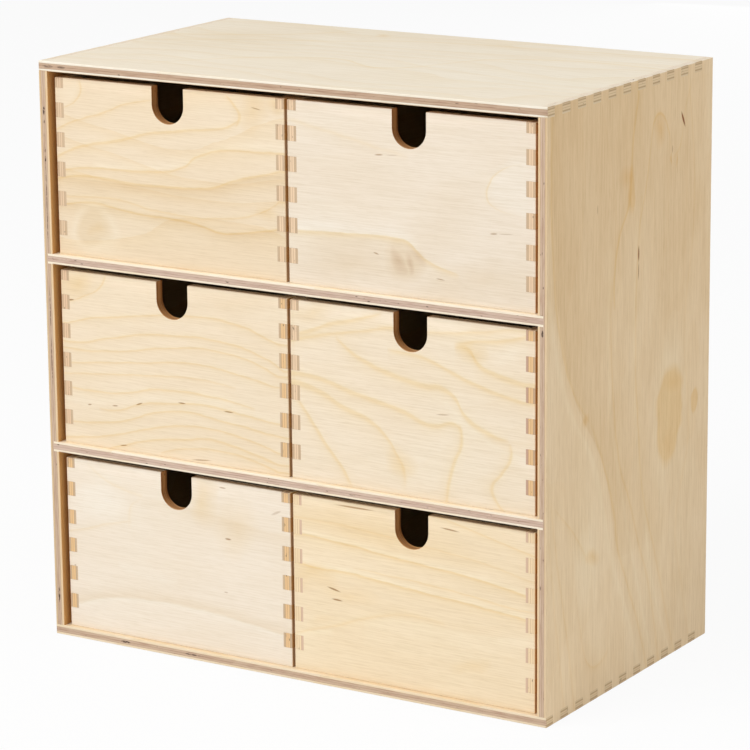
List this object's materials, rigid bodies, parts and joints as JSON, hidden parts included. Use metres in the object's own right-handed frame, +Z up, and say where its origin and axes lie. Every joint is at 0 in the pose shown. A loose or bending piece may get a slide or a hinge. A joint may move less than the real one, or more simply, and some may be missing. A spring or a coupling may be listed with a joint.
{
  "type": "desktop mini drawers",
  "caption": "Small plywood desktop chest with finger-jointed corners and rows of slide-out drawers, each with a U-shaped thumb notch.",
  "frame": {"origin": "middle of the footprint, on the surface the cabinet stands on", "axes": "+Z up, +X to the right seen from the front, +Y to the back; the drawers open towards -Y"},
  "size_m": [0.31, 0.18, 0.32],
  "materials": {
    "birch_case": "sanded bare birch plywood, pink-brown core on the edges",
    "birch_front": "sanded bare birch veneer, grain side to side, each front its own figure",
    "birch_drawer_wall": "sanded bare birch plywood",
    "birch_thin_sheet": "thin bare birch plywood"
  },
  "bodies": {
    "cabinet": {"top_panel": "birch_case", "bottom_panel": "birch_case", "left_side": "birch_case", "right_side": "birch_case", "upper_shelf": "birch_case", "lower_shelf": "birch_case", "back_panel": "birch_thin_sheet"},
    "bottom_left_drawer": {"bottom_left_drawer_front": "birch_front", "bottom_left_drawer_back": "birch_drawer_wall", "bottom_left_drawer_left_side": "birch_drawer_wall", "bottom_left_drawer_right_side": "birch_drawer_wall", "bottom_left_drawer_floor": "birch_thin_sheet"},
    "bottom_right_drawer": {"bottom_right_drawer_front": "birch_front", "bottom_right_drawer_back": "birch_drawer_wall", "bottom_right_drawer_left_side": "birch_drawer_wall", "bottom_right_drawer_right_side": "birch_drawer_wall", "bottom_right_drawer_floor": "birch_thin_sheet"},
    "middle_left_drawer": {"middle_left_drawer_front": "birch_front", "middle_left_drawer_back": "birch_drawer_wall", "middle_left_drawer_left_side": "birch_drawer_wall", "middle_left_drawer_right_side": "birch_drawer_wall", "middle_left_drawer_floor": "birch_thin_sheet"},
    "middle_right_drawer": {"middle_right_drawer_front": "birch_front", "middle_right_drawer_back": "birch_drawer_wall", "middle_right_drawer_left_side": "birch_drawer_wall", "middle_right_drawer_right_side": "birch_drawer_wall", "middle_right_drawer_floor": "birch_thin_sheet"},
    "top_left_drawer": {"top_left_drawer_front": "birch_front", "top_left_drawer_back": "birch_drawer_wall", "top_left_drawer_left_side": "birch_drawer_wall", "top_left_drawer_right_side": "birch_drawer_wall", "top_left_drawer_floor": "birch_thin_sheet"},
    "top_right_drawer": {"top_right_drawer_front": "birch_front", "top_right_drawer_back": "birch_drawer_wall", "top_right_drawer_left_side": "birch_drawer_wall", "top_right_drawer_right_side": "birch_drawer_wall", "top_right_drawer_floor": "birch_thin_sheet"}
  },
  "joints": [
    {"name": "bottom_left_drawer_slide", "type": "slide", "parent": "cabinet", "child": "bottom_left_drawer", "axis": [0, -1, 0], "range_m": [0, 0.175]},
    {"name": "bottom_right_drawer_slide", "type": "slide", "parent": "cabinet", "child": "bottom_right_drawer", "axis": [0, -1, 0], "range_m": [0, 0.175]},
    {"name": "middle_left_drawer_slide", "type": "slide", "parent": "cabinet", "child": "middle_left_drawer", "axis": [0, -1, 0], "range_m": [0, 0.175]},
    {"name": "middle_right_drawer_slide", "type": "slide", "parent": "cabinet", "child": "middle_right_drawer", "axis": [0, -1, 0], "range_m": [0, 0.175]},
    {"name": "top_left_drawer_slide", "type": "slide", "parent": "cabinet", "child": "top_left_drawer", "axis": [0, -1, 0], "range_m": [0, 0.175]},
    {"name": "top_right_drawer_slide", "type": "slide", "parent": "cabinet", "child": "top_right_drawer", "axis": [0, -1, 0], "range_m": [0, 0.175]}
  ]
}
